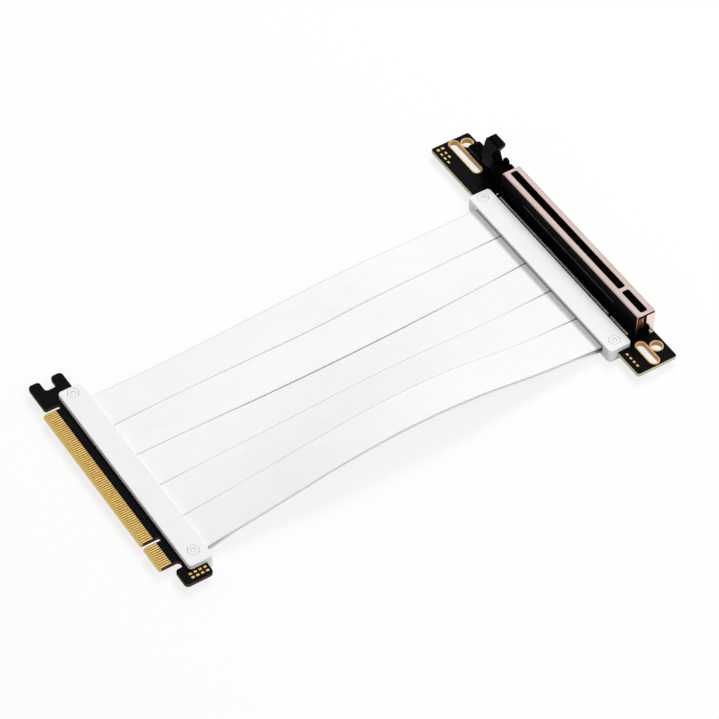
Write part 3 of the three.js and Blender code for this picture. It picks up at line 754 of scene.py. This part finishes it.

# Plated rims of the mounting holes and slots, in a lighter gold as a painted highlight
RIM_R = 0.26
RIM_OUT = 0.3
RIM_Z = 0.25
HOLE_X = 0.2
HOLE_R = 2.2
MOUNT_SLOT_X = -4.8
MOUNT_SLOT_W = 3.6
BOARD_Y = (local(SLOT_BOARD_LOW).y, local(SLOT_BOARD_HIGH).y)
MOUNT_HOLES = (BOARD_Y[1] - 4.9, BOARD_Y[0] + 7.9)
MOUNT_SLOTS = ((BOARD_Y[1] - 21.0, BOARD_Y[1] - 1.1), (BOARD_Y[0] + 1.0, BOARD_Y[0] + 12.8))


def rim(x, y0, y1, radius, z):
    """A bead round a hole, or round a slot where y1 is above y0."""
    deselect()
    bpy.ops.mesh.primitive_torus_add(
        location=at(x, y0, z),
        major_radius=(radius + RIM_OUT) * MM,
        minor_radius=RIM_R * MM,
        major_segments=48,
        minor_segments=10,
    )
    bead = named("rim_bead")
    bpy.ops.object.transform_apply(location=True, rotation=True, scale=True)
    if y1 > y0:
        middle = at(x, y0, z).y + 1e-7
        deselect()
        only(bead)
        bpy.ops.object.mode_set(mode="EDIT")
        bpy.ops.mesh.select_all(action="DESELECT")
        bpy.ops.object.mode_set(mode="OBJECT")
        for vertex in bead.data.vertices:
            vertex.select = vertex.co.y > middle
        bpy.ops.object.mode_set(mode="EDIT")
        bpy.ops.transform.translate(value=(0, (y1 - y0) * MM, 0))
        bpy.ops.object.mode_set(mode="OBJECT")
    return bead


def mount_rims():
    for name, hole_y, (y0, y1) in zip(("upper", "lower"), MOUNT_HOLES, MOUNT_SLOTS):
        beads = []
        half = MOUNT_SLOT_W / 2
        for z in (RIM_Z, -BOARD_T - RIM_Z):
            beads.append(rim(HOLE_X, hole_y, hole_y, HOLE_R, z))
            beads.append(rim(MOUNT_SLOT_X, y0 + half, y1 - half, half, z))
        finish(merge(f"mount_rims_{name}", beads), HIGHLIGHT_RIM, smooth=60)


mount_rims()

# Bare gold test pads: X from and to, the pads' length along Y and the Y each begins at
PAD_T = 0.03
PAD_BEVEL = 0.012
UPPER_PADS = (
    (-12.4, -11.2, 1.2, (77.4,)),
    (-10.3, -9.1, 1.2, (77.4,)),
    (-12.4, -11.6, 1.3, (74.6, 72.1, 69.6)),
    (-10.4, -9.6, 1.3, (74.6, 72.1)),
)
LOWER_PADS = ((-12.0, -11.2, 1.1, (-50.5, -52.7, -54.9, -57.1)),)
PLUG_PADS = tuple((x, x + 1.2, 0.9, (-52.0, -53.8)) for x in (-205.2, -203.2, -201.2, -199.2))


def pad_group(name, rows):
    pads = []
    for x0, x1, length, starts in rows:
        for y in starts:
            pads.append(box_from("test_pad", (x0, y, 0), (x1, y + length, PAD_T)))
            soften(pads[-1], PAD_BEVEL, 1)
    finish(merge(name, pads), PLATED_GOLD, smooth=0)


def test_pads():
    pad_group("slot_test_pads_upper", UPPER_PADS)
    pad_group("slot_test_pads_lower", LOWER_PADS)
    pad_group("plug_test_pads", PLUG_PADS)


test_pads()

# Grounding tab inside the shield's open end, and the shield's foot below it: two corners each
GROUNDING_TAB = ((-3.2, -44.75, 4.2), (-0.9, -44.6, 9.6))
SHIELD_FOOT = ((2.2, -45.9, 0.02), (3.6, -44.9, 0.22))


def end_tab():
    tab = box_from("grounding_tab", *GROUNDING_TAB)
    soften(tab, 0.07, 2)
    finish(tab, BARE_COPPER)
    foot = box_from("shield_foot", *SHIELD_FOOT)
    soften(foot, 0.05, 2)
    finish(foot, TINNED)


end_tab()

# Solder joints of the slot's contacts under the board: each row's X and its shift along Y
TAIL_ROWS = ((-2.9, 0.0), (-1.0, 0.5), (1.0, 0.0), (2.9, 0.5))
TAIL_R = 0.38
TAIL_TIP_R = 0.12
TAIL_L = 0.7


def solder_tails():
    rows = []
    for x, shift in TAIL_ROWS:
        for span, count in ((LONG_GROOVE, LONG_CONTACTS), (SHORT_GROOVE, SHORT_CONTACTS)):
            first = (span[0] + span[1]) / 2 - (count - 1) * PITCH / 2 + shift
            deselect()
            bpy.ops.mesh.primitive_cone_add(
                vertices=12,
                radius1=TAIL_TIP_R * MM,
                radius2=TAIL_R * MM,
                depth=TAIL_L * MM,
                location=at(x, first, -BOARD_T - TAIL_L / 2),
            )
            tail = named("solder_tail")
            bpy.ops.object.transform_apply(location=True, rotation=True, scale=True)
            soften(tail, 0.06, 2)
            repeat(tail, (count + 1) // 2, (0, 2 * PITCH, 0))
            rows.append(tail)
    finish(merge("solder_tails", rows), TINNED, smooth=50)


solder_tails()


# Stage; the floor's size and height are in metres
FLOOR_SIZE = 12
FLOOR_Z = -0.0003
FLOOR_GLOW_SHARE = 0.8
WORLD_STRENGTH = 0.44


def stage():
    deselect()
    bpy.ops.mesh.primitive_plane_add(size=FLOOR_SIZE, location=(0, 0, FLOOR_Z))
    floor = named("floor")
    material = new_material("white_floor", (0.9, 0.9, 0.9), 0.9, Specular_IOR_Level=0.1)
    tree = material.node_tree
    glow = node_of(material, "ShaderNodeEmission", Strength=1.0)
    rays = node_of(material, "ShaderNodeLightPath")
    seen = node_of(material, "ShaderNodeMath", operation="MAXIMUM")
    wire(material, rays.outputs["Is Camera Ray"], seen.inputs[0])
    wire(material, rays.outputs["Is Glossy Ray"], seen.inputs[1])
    share = node_of(material, "ShaderNodeMath", operation="MULTIPLY")
    share.inputs[1].default_value = FLOOR_GLOW_SHARE
    wire(material, seen.outputs["Value"], share.inputs[0])
    mix = node_of(material, "ShaderNodeMixShader")
    wire(material, share.outputs["Value"], mix.inputs["Fac"])
    wire(material, shader_of(material).outputs["BSDF"], mix.inputs[1])
    wire(material, glow.outputs["Emission"], mix.inputs[2])
    wire(material, mix.outputs["Shader"], tree.nodes["Material Output"].inputs["Surface"])
    floor.data.materials.append(material)
    world = bpy.data.worlds.new("studio")
    bpy.context.scene.world = world
    world.use_nodes = True
    background = world.node_tree.nodes["Background"]
    background.inputs["Color"].default_value = (1, 1, 1, 1)
    background.inputs["Strength"].default_value = WORLD_STRENGTH


# Each lamp's name, place and size in metres, power, and whether metals mirror it
LAMPS = (
    ("key", (0.75, 0.5, 1.35), 0.7, 14.0, False),
    ("softbox", (0.67, 0.98, 1.35), 1.0, 1.3, True),
    ("fill", (0.5, -1.0, 1.3), 0.8, 7.5, False),
)


def lamps():
    for name, place, size, power, glossy in LAMPS:
        data = bpy.data.lights.new(name, "AREA")
        data.size = size
        data.energy = power
        lamp = bpy.data.objects.new(name, data)
        bpy.context.scene.collection.objects.link(lamp)
        lamp.location = place
        lamp.visible_glossy = glossy
        lamp.rotation_mode = "QUATERNION"
        lamp.rotation_quaternion = Vector(place).to_track_quat("Z", "Y")


stage()
lamps()
bpy.context.scene.view_settings.view_transform = "Standard"
